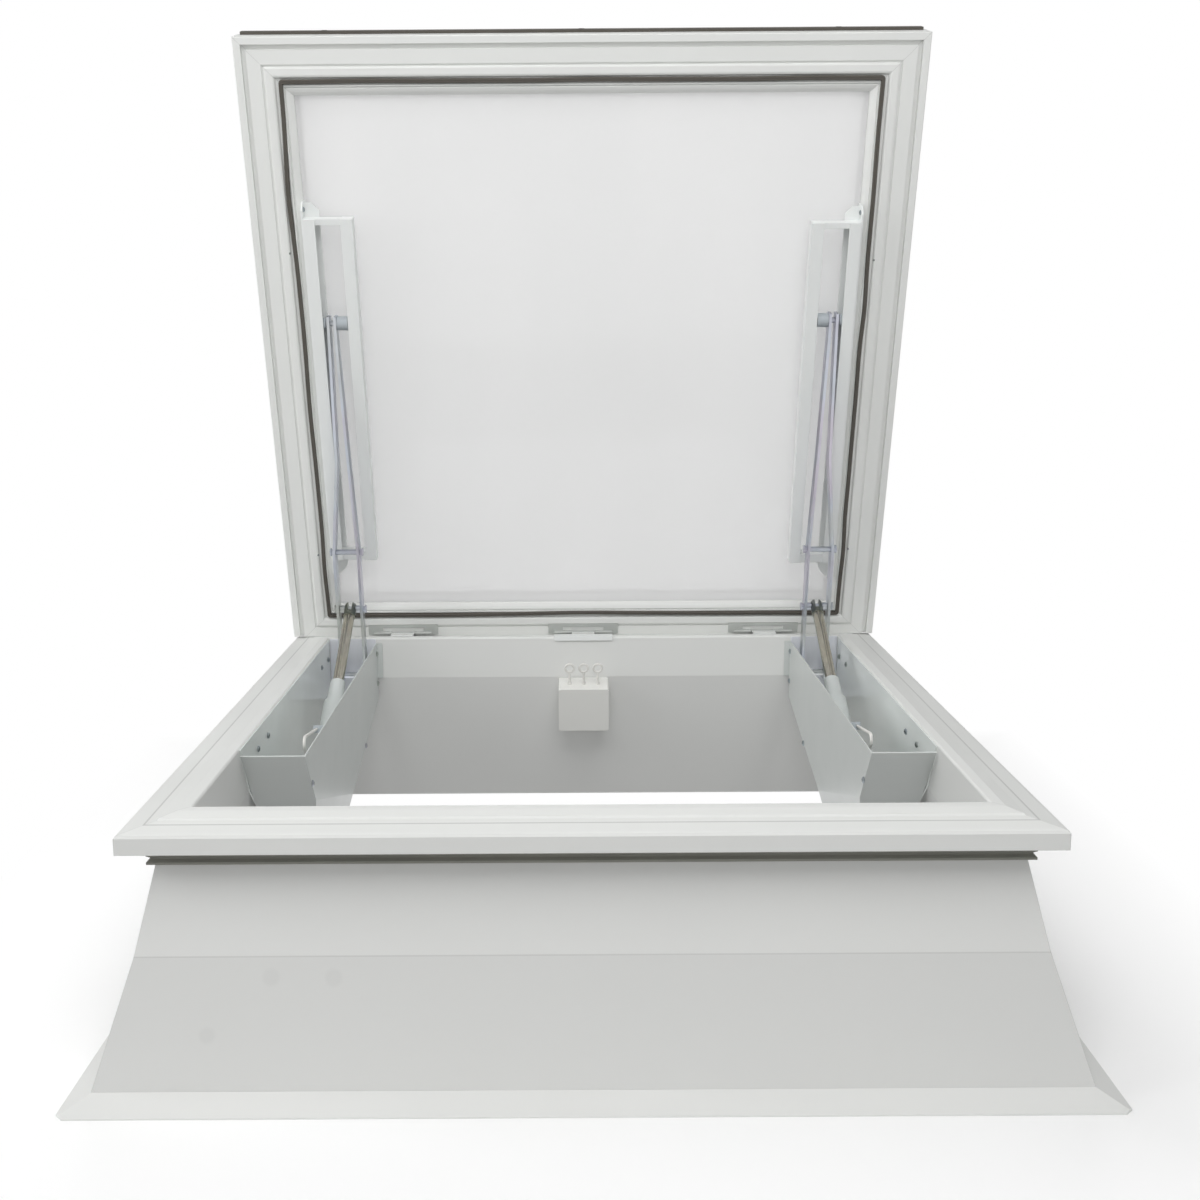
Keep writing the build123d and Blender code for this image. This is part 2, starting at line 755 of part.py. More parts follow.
# Spindle drives: clevis on the arms, steel tube, plastic sleeve and foot
drive_x = (arm_outer_low + arm_inner_low) / 2
foot_y = 20.0
foot_z = 149.0
clevis_y = pivot_y - clevis_at * math.sin(arm_lean)
clevis_z = pivot_z + clevis_at * math.cos(arm_lean)
drive_length = math.hypot(clevis_y - foot_y, clevis_z - foot_z)
drive_dir = ((foot_y - clevis_y) / drive_length, (foot_z - clevis_z) / drive_length)
drive_plane = Plane(origin=(drive_x, clevis_y, clevis_z), x_dir=(1, 0, 0), z_dir=(0, drive_dir[0], drive_dir[1]))
clevis_r = 11.0
clevis_end = 11.0
clevis_round = 4.0
fork_gap = 4.0
fork_deep = 13.0
clevis_len = 24.0
tube_r = 10.0
tube_end = 290.0
sleeve_from = 199.0
sleeve_r = 13.5
body_from = 250.0
body_r = 19.0
body_end = drive_length - 24.0
foot_eye_r = 11.0
lead_x = drive_x - 26.5
drive_lead_r = 2.3
gland_at = 400.0
gland_wide = 12.0
gland_long = 16.0
gland_y = clevis_y + gland_at * drive_dir[0]
gland_z = clevis_z + gland_at * drive_dir[1]
gland_plane = Plane(
    origin=(lead_x, gland_y, gland_z),
    x_dir=(1, 0, 0),
    z_dir=(0, drive_dir[1], -drive_dir[0]),
)

with BuildPart() as clevises:
    with BuildSketch(drive_plane.offset(-clevis_end)):
        Circle(clevis_r)
    extrude(amount=clevis_end + clevis_len)
    fillet(clevises.edges().filter_by(GeomType.CIRCLE).sort_by(Axis.Z)[-1], radius=clevis_round)
    with BuildSketch(drive_plane.offset(-clevis_end)):
        Rectangle(2 * fork_gap, 2 * clevis_r)
    extrude(amount=clevis_end + fork_deep, mode=Mode.SUBTRACT)
    across = Plane(origin=(drive_x, clevis_y, clevis_z), x_dir=(0, 1, 0), z_dir=(1, 0, 0))
    with BuildSketch(across):
        Circle(clevis_pin_r + pin_clear)
    extrude(amount=clevis_r + 5, both=True, mode=Mode.SUBTRACT)
    mirror(about=mirror_plane)
save(clevises.part, "drive_clevises")
save(cross_pin(clevis_at, clevis_pin_r, pin_low, pin_high, clevis_pin_r + 2.5, 2.5), "clevis_pins")

spacer_gap = 0.3
spacer_r = 7.0
with BuildPart() as clevis_spacers:
    for low_x, high_x in (
        (arm_inner_low + arm_thick / 2 + spacer_gap, drive_x - clevis_r - spacer_gap),
        (drive_x + clevis_r + spacer_gap, arm_outer_low - arm_thick / 2 - spacer_gap),
    ):
        with BuildSketch(across_arm.offset(low_x)):
            with Locations((0, clevis_at)):
                Circle(spacer_r)
                Circle(clevis_pin_r + pin_clear, mode=Mode.SUBTRACT)
        extrude(amount=high_x - low_x)
    mirror(about=mirror_plane)
save(clevis_spacers.part, "clevis_spacers")

with BuildPart() as tubes:
    with BuildSketch(drive_plane.offset(clevis_len)):
        Circle(tube_r)
    extrude(amount=tube_end - clevis_len)
    mirror(about=mirror_plane)
save(tubes.part, "drive_tubes")

with BuildPart() as bodies:
    with BuildSketch(drive_plane.offset(sleeve_from)):
        Circle(sleeve_r)
    extrude(amount=body_from - sleeve_from, taper=-2)
    with BuildSketch(drive_plane.offset(body_from)):
        Circle(body_r)
    extrude(amount=body_end - body_from)
    with BuildSketch(drive_plane.offset(sleeve_from)):
        Circle(tube_r + 0.3)
    extrude(amount=tube_end + 0.3 - sleeve_from, mode=Mode.SUBTRACT)
    with BuildSketch(gland_plane.offset(-gland_long / 2)):
        with Locations((gland_wide / 4, 0)):
            Rectangle(gland_wide * 1.5, gland_wide)
    extrude(amount=gland_long)
    with BuildSketch(gland_plane):
        Circle(drive_lead_r + pin_clear)
    extrude(amount=gland_long, mode=Mode.SUBTRACT)
    with BuildSketch(drive_plane.offset(body_end)):
        Rectangle(14, 2 * foot_eye_r)
    extrude(amount=drive_length - body_end + foot_eye_r)
    across = Plane(origin=(drive_x, foot_y, foot_z), x_dir=(0, 1, 0), z_dir=(1, 0, 0))
    with BuildSketch(across):
        Circle(clevis_pin_r + pin_clear)
    extrude(amount=body_r, both=True, mode=Mode.SUBTRACT)
    mirror(about=mirror_plane)
save(bodies.part, "drive_bodies")

# Housings: folded sheet covers and mounting plates on the frame's inner faces
sheet = 2.0
cheek_x = inner_half - 95.0
wall_plate_x = inner_half
house_top = 332.0
house_front_y = -258.0
house_slant_y = -187.0
house_slant_z = 243.0
house_low_y = 148.0
house_low_z = 141.0
house_back_y = inner_half - 3.0
house_back_z = 220.0
trough_deep = 88.0
fold_in = 14.0
cheek_corner = 6.0
wall_plate_top = 340.0
wall_plate_foot = 60.0
wall_plate_drop = 30.0
flange_wide = 12.0
flange_low = 262.0
slant = (house_slant_y - house_front_y) / (house_top - house_slant_z)
cheek_points = [
    (house_back_y, house_top),
    (house_front_y, house_top),
    (house_slant_y, house_slant_z),
    (house_low_y, house_low_z),
    (house_back_y, house_back_z),
]
bend_length = math.hypot(house_low_y - house_slant_y, house_low_z - house_slant_z)
bend_dir = ((house_low_y - house_slant_y) / bend_length, (house_low_z - house_slant_z) / bend_length)
fold_sin = math.sin(math.radians(fold_in))
fold_cos = math.cos(math.radians(fold_in))
trough_plane = Plane(
    origin=(cheek_x, house_slant_y, house_slant_z),
    x_dir=(0, bend_dir[0], bend_dir[1]),
    z_dir=(fold_cos, -bend_dir[1] * fold_sin, bend_dir[0] * fold_sin),
)
front_cos = 1 / math.hypot(1, slant)
front_plane = Plane(
    origin=(0, house_front_y, house_top),
    x_dir=(1, 0, 0),
    z_dir=(0, -front_cos, -front_cos * slant),
)
trough_skew = (slant * bend_dir[0] - bend_dir[1]) / (bend_dir[0] + slant * bend_dir[1])
trough_drop = (bend_dir[0] - trough_skew * bend_dir[1]) / front_cos
front_fold = math.hypot(house_slant_y - house_front_y, house_top - house_slant_z)
front_end = front_fold + trough_deep * fold_cos * trough_drop
front_wide = wall_plate_x - sheet - 0.5
with BuildPart() as covers:
    with BuildSketch(Plane.YZ.offset(cheek_x)) as cheek:
        with BuildLine():
            Polyline(cheek_points, close=True)
        make_face()
        fillet(cheek.vertices().sort_by(Axis.X)[0], radius=cheek_corner)
    extrude(amount=sheet)
    with BuildSketch(Plane.XZ.offset(-house_back_y)):
        with Locations((cheek_x + sheet - flange_wide / 2, (house_top + flange_low) / 2)):
            Rectangle(flange_wide, house_top - flange_low)
    extrude(amount=-sheet)
    with BuildSketch(trough_plane):
        with BuildLine():
            Polyline(
                [
                    (0, 0),
                    (bend_length, 0),
                    (bend_length - 6, -trough_deep),
                    (trough_deep * fold_cos * trough_skew, -trough_deep),
                ],
                close=True,
            )
        make_face()
    extrude(amount=sheet)
    with BuildSketch(front_plane):
        with BuildLine():
            Polyline(
                [
                    (cheek_x, 0),
                    (front_wide, 0),
                    (front_wide, -front_end),
                    (cheek_x + trough_deep * fold_sin, -front_end),
                    (cheek_x, -front_fold),
                ],
                close=True,
            )
        make_face()
    extrude(amount=-sheet)
    mirror(about=mirror_plane)
save(covers.part, "housing_covers")

with BuildPart() as wall_plates:
    with BuildSketch(Plane.YZ.offset(wall_plate_x - sheet)):
        with BuildLine():
            Polyline(
                [
                    (house_back_y - sheet, wall_plate_top),
                    (house_front_y + 6, wall_plate_top),
                    (house_front_y + 50, frame_web_bottom + 2),
                    (foot_y - wall_plate_foot, foot_z - wall_plate_drop),
                    (foot_y + wall_plate_foot, foot_z - wall_plate_drop),
                    (house_back_y - sheet, house_back_z),
                ],
                close=True,
            )
        make_face()
    extrude(amount=sheet)
    mirror(about=mirror_plane)
save(wall_plates.part, "housing_wall_plates")

ear_front = pivot_y - 15.0
back_low_x = cheek_x + sheet + 0.5
back_high_x = wall_plate_x - sheet - 0.5
back_low_top = 340.0
back_high_top = 341.0
ear_back = inner_half - sheet
with BuildPart() as brackets:
    with BuildSketch(Plane.XZ.offset(-inner_half)):
        with BuildLine():
            Polyline(
                [
                    (back_low_x, house_back_z),
                    (back_low_x, back_low_top),
                    (back_high_x, back_high_top),
                    (back_high_x, house_back_z),
                ],
                close=True,
            )
        make_face()
    extrude(amount=sheet + 0.5)
    for x in (ear_low, ear_high):
        with BuildSketch(Plane.YZ.offset(x)):
            with Locations(((ear_front + ear_back) / 2, pivot_z)):
                Rectangle(ear_back - ear_front, ear_tall)
            with Locations((pivot_y, pivot_z)):
                Circle(pivot_pin_r + pin_clear, mode=Mode.SUBTRACT)
        extrude(amount=ear_thick)
    mirror(about=mirror_plane)
save(brackets.part, "pivot_brackets")

foot_gap = 8.5
foot_size = 34.0
foot_thick = 4.0
with BuildPart() as foot_brackets:
    for x in (drive_x - foot_gap - foot_thick, drive_x + foot_gap):
        with BuildSketch(Plane.YZ.offset(x)):
            with Locations((foot_y, foot_z)):
                Rectangle(foot_size, foot_size)
                Circle(clevis_pin_r + pin_clear, mode=Mode.SUBTRACT)
        extrude(amount=foot_thick)
    with BuildSketch(Plane.XY.offset(foot_z - foot_size / 2 - foot_thick)):
        with Locations(((drive_x - foot_gap - foot_thick + wall_plate_x - sheet) / 2, foot_y)):
            Rectangle(wall_plate_x - sheet - (drive_x - foot_gap - foot_thick), foot_size)
    extrude(amount=foot_thick)
    mirror(about=mirror_plane)
save(foot_brackets.part, "foot_brackets")
with BuildPart() as foot_pins:
    with BuildSketch(Plane.YZ.offset(drive_x - foot_gap - 6)):
        with Locations((foot_y, foot_z)):
            Circle(clevis_pin_r)
    extrude(amount=2 * foot_gap + 12)
    mirror(about=mirror_plane)
save(foot_pins.part, "foot_pins")

# Junction box on the sloping hinge-side wall, with three looped lead ends
box_wide = 98.0
box_tall = 92.0
box_deep = 50.0
box_drop = 2.0
box_wall = 2.5
lid_deep = 12.0
lid_gap = 0.2
box_corner = 4.0
wall_lean = math.atan2(curb_foot_inner, frame_web_bottom - curb_foot_z)
wall_face = Plane(
    origin=(0, inner_half, frame_web_bottom),
    x_dir=(1, 0, 0),
    z_dir=(0, -math.cos(wall_lean), -math.sin(wall_lean)),
)
box_mid = -box_drop - box_tall / 2
body_deep = box_deep - lid_deep - lid_gap
with BuildPart() as box_body:
    with BuildSketch(wall_face):
        with Locations((0, box_mid)):
            RectangleRounded(box_wide, box_tall, box_corner)
    extrude(amount=body_deep)
    with BuildSketch(wall_face.offset(box_wall)):
        with Locations((0, box_mid)):
            RectangleRounded(box_wide - 2 * box_wall, box_tall - 2 * box_wall, box_corner - 1)
    extrude(amount=body_deep, mode=Mode.SUBTRACT)
save(box_body.part, "junction_box")
with BuildPart() as box_lid:
    with BuildSketch(wall_face.offset(box_deep - lid_deep)):
        with Locations((0, box_mid)):
            RectangleRounded(box_wide, box_tall, box_corner)
    extrude(amount=lid_deep)
    with BuildSketch(wall_face.offset(box_deep - lid_deep)):
        with Locations((0, box_mid)):
            RectangleRounded(box_wide - 2 * box_wall, box_tall - 2 * box_wall, box_corner - 1)
    extrude(amount=lid_deep - box_wall, mode=Mode.SUBTRACT)
save(box_lid.part, "junction_box_lid")

lead_at = [-27.5, 0.0, 27.5]
lead_r = 2.1
lead_loop_r = 8.5
lead_stem = 26.0
lead_deep = 26.0
with BuildPart() as leads:
    for x in lead_at:
        with BuildSketch(Plane(origin=wall_face.origin, x_dir=(1, 0, 0), z_dir=wall_face.y_dir).offset(-box_drop)):
            with Locations((x, -lead_deep)):
                Circle(lead_r + 2)
        extrude(amount=3)
        with BuildSketch(Plane(origin=wall_face.origin, x_dir=(1, 0, 0), z_dir=wall_face.y_dir).offset(-box_drop)):
            with Locations((x, -lead_deep)):
                Circle(lead_r)
        extrude(amount=lead_stem)
        with Locations(wall_face.location * Pos(x, lead_stem - box_drop + lead_loop_r, lead_deep)):
            Torus(lead_loop_r, lead_r)
save(leads.part, "box_leads")

# Drive leads looped inside the housings, each held by a clip and a connector on the cover
lead_from = 1.0
lead_out = 40.0
lead_start = (gland_y + lead_from * drive_dir[1], gland_z - lead_from * drive_dir[0])
lead_bend = (gland_y + lead_out * drive_dir[1], gland_z - lead_out * drive_dir[0])
lead_top = (-40.0, 316.0)
lead_turn = (-198.0, 341.0)
lead_end = (-150.0, 262.0)
lead_run = [lead_start, lead_bend, lead_top, lead_turn, (-163.0, 300.0), lead_end]
lead_radii = [60.0, 60.0, 8.9, 40.0]
with BuildPart() as drive_leads:
    with BuildLine(Plane.YZ.offset(lead_x)) as route:
        FilletPolyline(*lead_run, radius=lead_radii)
    with BuildSketch(Plane(origin=route.line @ 0, z_dir=route.line % 0)):
        Circle(drive_lead_r)
    sweep()
    mirror(about=mirror_plane)
save(drive_leads.part, "drive_leads")

clip_wide = 11.0
clip_y = -80.0
lead_rise = (lead_turn[1] - lead_top[1]) / (lead_turn[0] - lead_top[0])
clip_z = lead_top[1] + lead_rise * (clip_y - lead_top[0])
clip_from = cheek_x + sheet + 0.3
clip_to = lead_x + drive_lead_r + 2.5
connector_tall = 22.0
with BuildPart() as clips:
    clip_plane = Plane(origin=(0, clip_y, clip_z), x_dir=(1, 0, 0), z_dir=(0, -1, -lead_rise))
    with BuildSketch(clip_plane.offset(-clip_wide / 2)):
        with Locations(((clip_from + clip_to) / 2, 0)):
            Rectangle(clip_to - clip_from, clip_wide)
        with Locations((lead_x, 0)):
            Circle(drive_lead_r + pin_clear, mode=Mode.SUBTRACT)
    extrude(amount=clip_wide)
    end_plane = Plane(origin=(0, lead_end[0], lead_end[1]), x_dir=(1, 0, 0), z_dir=(0, 13, -38))
    with BuildSketch(end_plane.offset(-clip_wide / 2)):
        with Locations(((clip_from + clip_to) / 2, 0)):
            Rectangle(clip_to - clip_from, clip_wide)
    extrude(amount=connector_tall)
    with BuildSketch(end_plane.offset(-clip_wide / 2)):
        with Locations((lead_x, 0)):
            Circle(drive_lead_r + pin_clear)
    extrude(amount=clip_wide / 2 + 0.5, mode=Mode.SUBTRACT)
    mirror(about=mirror_plane)
save(clips.part, "lead_clips")
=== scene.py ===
import json
import math
import random

import bmesh
import bpy
from mathutils import Matrix, Quaternion, Vector


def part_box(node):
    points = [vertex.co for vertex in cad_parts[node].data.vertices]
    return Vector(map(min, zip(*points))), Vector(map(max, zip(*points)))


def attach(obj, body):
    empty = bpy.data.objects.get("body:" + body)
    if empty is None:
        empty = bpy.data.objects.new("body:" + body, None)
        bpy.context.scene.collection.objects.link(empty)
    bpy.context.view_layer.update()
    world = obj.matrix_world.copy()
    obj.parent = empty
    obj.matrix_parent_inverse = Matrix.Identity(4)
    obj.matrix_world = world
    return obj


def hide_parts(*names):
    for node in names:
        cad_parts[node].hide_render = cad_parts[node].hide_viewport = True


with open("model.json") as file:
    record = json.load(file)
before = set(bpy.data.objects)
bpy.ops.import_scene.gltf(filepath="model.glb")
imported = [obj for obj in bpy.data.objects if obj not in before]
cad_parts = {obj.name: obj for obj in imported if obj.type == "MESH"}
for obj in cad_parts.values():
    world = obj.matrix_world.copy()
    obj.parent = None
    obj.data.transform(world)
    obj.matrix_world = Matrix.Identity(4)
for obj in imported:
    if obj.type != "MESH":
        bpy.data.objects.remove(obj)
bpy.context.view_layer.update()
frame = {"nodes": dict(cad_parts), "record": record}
random.seed(7)

# Places taken from the CAD part, in metres
MM = 0.001
OPEN_ANGLE = math.radians(74.0)
HINGE = Vector((0, 0.540, 0.343))
SASH_UP = Vector((0, -math.cos(OPEN_ANGLE), math.sin(OPEN_ANGLE)))
SASH_IN = Vector((0, -math.sin(OPEN_ANGLE), -math.cos(OPEN_ANGLE)))
SASH_FACE = -0.005
SASH_SHORTER = 0.006
SASH_BELOW_HINGE = 0.0325
SASH_HALF = -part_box("sash_stile_left")[0].x
SASH_MID_UP = SASH_HALF - SASH_SHORTER - SASH_BELOW_HINGE
SASH_MID = HINGE + SASH_UP * SASH_MID_UP
FRAME_RIDGE = 0.548
KNUCKLE_R = 0.0075
LEAF_EDGE_SHADE_R = 0.0155
FLANGE_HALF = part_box("base_flange")[1].x
FLANGE_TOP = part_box("base_flange")[1].z

# The upstand: its joint line, and the middle of its wall at the floor and at the top
SEAM_Z = 0.170
WALL_MID_LOW = 0.592
WALL_MID_HIGH = 0.520
WALL_TOP = 0.262

WHITE = (1, 1, 1, 1)


def on_sash(x, s, n):
    """A point at x, a distance s up the sash and n out of the hinge plane toward the opening."""
    return HINGE + Vector((x, 0, 0)) + SASH_UP * s + SASH_IN * n


# Shader helpers
def new_material(name):
    mat = bpy.data.materials.new(name)
    mat.use_nodes = True
    tree = mat.node_tree
    return mat, tree, tree.nodes["Principled BSDF"]


def node(tree, kind, inputs=None, **settings):
    """Adds a shader node; inputs maps a socket to a value or to another socket."""
    made = tree.nodes.new(kind)
    for key, value in settings.items():
        setattr(made, key, value)
    for key, value in (inputs or {}).items():
        if isinstance(value, bpy.types.NodeSocket):
            tree.links.new(value, made.inputs[key])
        else:
            made.inputs[key].default_value = value
    return made


def math_node(tree, operation, a, b=None):
    inputs = {0: a} if b is None else {0: a, 1: b}
    return node(tree, "ShaderNodeMath", inputs, operation=operation).outputs[0]


def vector_node(tree, operation, a, b):
    return node(tree, "ShaderNodeVectorMath", {0: a, 1: b}, operation=operation).outputs


def position(tree):
    return node(tree, "ShaderNodeTexCoord").outputs["Object"]


def component(tree, vector, axis):
    return node(tree, "ShaderNodeSeparateXYZ", {0: vector}).outputs[axis]


def noise(tree, scale, detail=3.0, stretch=None):
    coords = position(tree)
    if stretch:
        coords = node(tree, "ShaderNodeMapping", {"Vector": coords, "Scale": stretch}).outputs[0]
    made = node(tree, "ShaderNodeTexNoise", {"Vector": coords, "Scale": scale, "Detail": detail})
    return made.outputs["Fac"]


def spread(tree, value, low, high, start=0.3, end=0.7):
    """Maps a value between start and end onto low to high."""
    inputs = {"Value": value, "From Min": start, "From Max": end, "To Min": low, "To Max": high}
    return node(tree, "ShaderNodeMapRange", inputs).outputs["Result"]


def blend_colours(tree, factor, first, second, **settings):
    """The sockets go by number, since those of each data type share their names."""
    inputs = {0: factor, 6: first, 7: second}
    return node(tree, "ShaderNodeMix", inputs, data_type="RGBA", **settings).outputs[2]


def mix_shaders(tree, factor, first, second):
    return node(tree, "ShaderNodeMixShader", {0: factor, 1: first, 2: second}).outputs[0]


def grey(tree, level):
    return node(tree, "ShaderNodeCombineColor", {0: level, 1: level, 2: level}).outputs[0]


def line_at(tree, value, target, half_wide):
    """1 where a value lies within half_wide of the target, 0 elsewhere."""
    apart = math_node(tree, "ABSOLUTE", math_node(tree, "SUBTRACT", value, target))
    return math_node(tree, "LESS_THAN", apart, half_wide)


def mitre_line(tree, middle, up, half_wide, longer):
    """1 along the diagonal joints of a ring that is longer across than up, 0 elsewhere."""
    moved = vector_node(tree, "SUBTRACT", position(tree), middle)[0]
    across = vector_node(tree, "DOT_PRODUCT", moved, (1, 0, 0))["Value"]
    along = vector_node(tree, "DOT_PRODUCT", moved, up)["Value"]
    sides = math_node(tree, "ABSOLUTE", across), math_node(tree, "ABSOLUTE", along)
    return line_at(tree, math_node(tree, "SUBTRACT", *sides), longer, half_wide)


def from_middle(tree):
    """The larger of the distances from the middle along X and along Y."""
    place = position(tree)
    sides = [math_node(tree, "ABSOLUTE", component(tree, place, axis)) for axis in ("X", "Y")]
    return math_node(tree, "MAXIMUM", *sides)


def shade(rgb, factor):
    return (rgb[0] * factor, rgb[1] * factor, rgb[2] * factor, 1)


def recolour(tree, bsdf, colour):
    tree.links.new(colour, bsdf.inputs["Base Color"])


def show(tree, shader):
    tree.links.new(shader, tree.nodes["Material Output"].inputs["Surface"])


# Materials
def surface(
    name,
    rgb,
    rough,
    metal=0.0,
    vary=0.04,
    vary_scale=6.0,
    stretch=None,
    grain=28.0,
    bump=0.05,
    edge=0.0008,
    coat=0.0,
    specular=0.5,
    dirt=0.0,
):
    """A finish with slow colour drift, uneven roughness, fine grain and softened edges."""
    mat, tree, bsdf = new_material(name)
    drift = spread(tree, noise(tree, vary_scale, stretch=stretch), 0.0, 1.0)
    colour = blend_colours(tree, drift, shade(rgb, 1 - vary), shade(rgb, 1 + vary * 0.5))
    if dirt:
        stains = spread(tree, noise(tree, 5.0, detail=1.0), 0.0, dirt, start=0.5, end=0.8)
        colour = blend_colours(tree, stains, colour, shade(rgb, 0.8))
    recolour(tree, bsdf, colour)
    uneven = spread(tree, noise(tree, vary_scale * 4, detail=4.0), rough * 0.85, rough * 1.2)
    tree.links.new(uneven, bsdf.inputs["Roughness"])
    bsdf.inputs["Metallic"].default_value = metal
    bsdf.inputs["Specular IOR Level"].default_value = specular
    if coat:
        bsdf.inputs["Coat Weight"].default_value = coat
        bsdf.inputs["Coat Roughness"].default_value = 0.15
    soft = node(tree, "ShaderNodeBevel", {"Radius": edge}, samples=6).outputs[0]
    height = noise(tree, grain, detail=1.0, stretch=stretch)
    grained = {"Strength": bump, "Distance": 0.0004, "Height": height, "Normal": soft}
    tree.links.new(node(tree, "ShaderNodeBump", grained).outputs[0], bsdf.inputs["Normal"])
    return mat, tree, bsdf, colour


def plain(name, rgb, rough, **more):
    """A finish with nothing drawn on it."""
    return surface(name, rgb, rough, **more)[0]


def jointed(name, rgb, middle, up, longer=0.0, ridge_shade_at=0.0, **more):
    """Profiles with welded mitre joints, and painted shade along a fine ridge all round at a distance from
    the middle.
    """
    mat, tree, bsdf, colour = surface(name, rgb, 0.34, vary=0.015, bump=0.02, dirt=0.05, **more)
    line = mitre_line(tree, middle, up, 0.0006, longer)
    colour = blend_colours(tree, math_node(tree, "MULTIPLY", line, 0.28), colour, shade(rgb, 0.45))
    if ridge_shade_at:
        # A dark line of painted shade along the ridge of the frame top.
        line = line_at(tree, from_middle(tree), ridge_shade_at, 0.0014)
        colour = blend_colours(tree, math_node(tree, "MULTIPLY", line, 0.5), colour, shade(rgb, 0.5))
    recolour(tree, bsdf, colour)
    return mat


def curb_finish():
    """White upstand; its outer faces have a joint line, a slightly darker lower band of painted shade and
    three dimple spots of painted shade.
    """
    rgb = (0.72, 0.725, 0.71)
    mat, tree, bsdf, colour = surface(
        "curb pvc", rgb, 0.42, vary=0.015, vary_scale=1.6, bump=0.02, dirt=0.04
    )
    height = component(tree, position(tree), "Z")
    wall_mid = spread(tree, height, WALL_MID_LOW, WALL_MID_HIGH, start=0.0, end=WALL_TOP)
    outside = math_node(tree, "GREATER_THAN", from_middle(tree), wall_mid)
    # Painted shade: the outer faces are drawn darker below the joint line.
    lower_band_shade = math_node(tree, "MULTIPLY", math_node(tree, "LESS_THAN", height, SEAM_Z), outside)
    lower_band_shade = math_node(tree, "MULTIPLY", math_node(tree, "GREATER_THAN", height, FLANGE_TOP), lower_band_shade)
    colour = blend_colours(tree, math_node(tree, "MULTIPLY", lower_band_shade, 0.9), colour, shade(rgb, 0.90))
    line = math_node(tree, "MULTIPLY", line_at(tree, height, SEAM_Z, 0.0009), outside)
    colour = blend_colours(tree, math_node(tree, "MULTIPLY", line, 0.30), colour, shade(rgb, 0.55))
    dimple_shades = (
        ((-0.395, -0.572, 0.146), 0.013),
        ((-0.318, -0.572, 0.145), 0.013),
        ((-0.472, -0.592, 0.080), 0.012),
    )
    # Three dimples, drawn as dark spots of painted shade.
    for place, size in dimple_shades:
        away = vector_node(tree, "DISTANCE", position(tree), place)["Value"]
        dimple_shade = spread(tree, away, 0.10, 0.0, start=size * 0.6, end=size)
        colour = blend_colours(tree, dimple_shade, colour, shade(rgb, 0.5))
    recolour(tree, bsdf, colour)
    return mat


def zinc(name, rgb, rough=0.34, stretch=(4, 4, 4), tint=0.55):
    """Bright zinc with fine drawn streaks and a slow tint, violet in places and olive in others."""
    mat, tree, bsdf, colour = surface(
        name, rgb, rough, metal=1.0, vary=0.10, stretch=stretch, grain=140.0, edge=0.0006
    )
    ramp = node(tree, "ShaderNodeValToRGB", {"Fac": noise(tree, 7.0, detail=1.0)})
    violet, olive = ramp.color_ramp.elements
    violet.position, violet.color = 0.36, (0.94, 0.82, 0.94, 1)
    olive.position, olive.color = 0.64, (0.90, 0.92, 0.76, 1)
    ramp.color_ramp.elements.new(0.5).color = (0.84, 0.91, 1.0, 1)
    recolour(tree, bsdf, blend_colours(tree, tint, colour, ramp.outputs[0], blend_type="MULTIPLY"))
    return mat


def painted_rail():
    """White paint, worn to grey steel on the hinge knuckles, with painted shade along the leaf's edge."""
    mat, tree, bsdf, colour = surface(
        "rail white", (0.84, 0.86, 0.85), 0.34, vary=0.02, vary_scale=4.0, bump=0.02, dirt=0.05
    )
    flat = vector_node(tree, "MULTIPLY", position(tree), (0, 1, 1))[0]
    away = vector_node(tree, "DISTANCE", flat, HINGE)["Value"]
    knuckle = math_node(tree, "LESS_THAN", away, KNUCKLE_R)
    colour = blend_colours(tree, knuckle, colour, (0.50, 0.52, 0.50, 1))
    # Painted shade along the leaf's edge.
    edge = line_at(tree, away, LEAF_EDGE_SHADE_R, 0.0020)
    recolour(tree, bsdf, blend_colours(tree, edge, colour, (0.42, 0.41, 0.38, 1)))
    return mat


def milky(tree, colour):
    """Scattering that passes most light on and returns the rest."""
    passed = node(tree, "ShaderNodeBsdfTranslucent", {"Color": colour}).outputs[0]
    returned = node(tree, "ShaderNodeBsdfDiffuse", {"Color": colour}).outputs[0]
    return mix_shaders(tree, 0.4, passed, returned)


def pane(name, colour_of, clear_part, clear_colour_of, shine, roughness):
    """Glass that is partly milky and partly clear, with a reflection that grows toward its rim."""
    mat, tree, bsdf = new_material(name)
    tree.nodes.remove(bsdf)
    clear = node(tree, "ShaderNodeBsdfTransparent", {"Color": clear_colour_of(tree)}).outputs[0]
    body = mix_shaders(tree, clear_part, milky(tree, colour_of(tree)), clear)
    mirror = node(tree, "ShaderNodeBsdfGlossy", {"Color": WHITE, "Roughness": roughness}).outputs[0]
    facing = node(tree, "ShaderNodeFresnel", {"IOR": 1.45}).outputs[0]
    show(tree, mix_shaders(tree, math_node(tree, "MULTIPLY", facing, shine), body, mirror))
    return mat


def slanting_streaks(tree):
    slanted = node(
        tree,
        "ShaderNodeMapping",
        {"Vector": position(tree), "Rotation": (0, 0.55, 0), "Scale": (7.0, 1.0, 0.9)},
    )
    inputs = {"Vector": slanted.outputs[0], "Scale": 1.6, "Detail": 2.0}
    streaks = node(tree, "ShaderNodeTexNoise", inputs).outputs["Fac"]
    streaks = spread(tree, streaks, 0.0, 1.0, start=0.35, end=0.65)
    return blend_colours(tree, streaks, (0.93, 0.935, 0.935, 1), (0.985, 0.985, 0.985, 1))


def faint_smear(tree):
    return grey(tree, spread(tree, noise(tree, 3.0, detail=2.0), 0.975, 0.99))


def opal_glass():
    return pane("opal glass", slanting_streaks, 0.55, lambda tree: (0.99, 0.99, 0.99, 1), 1.0, 0.08)


def clear_glass():
    return pane("clear glass", lambda tree: (0.98, 0.98, 0.98, 1), 0.38, faint_smear, 0.6, 0.05)


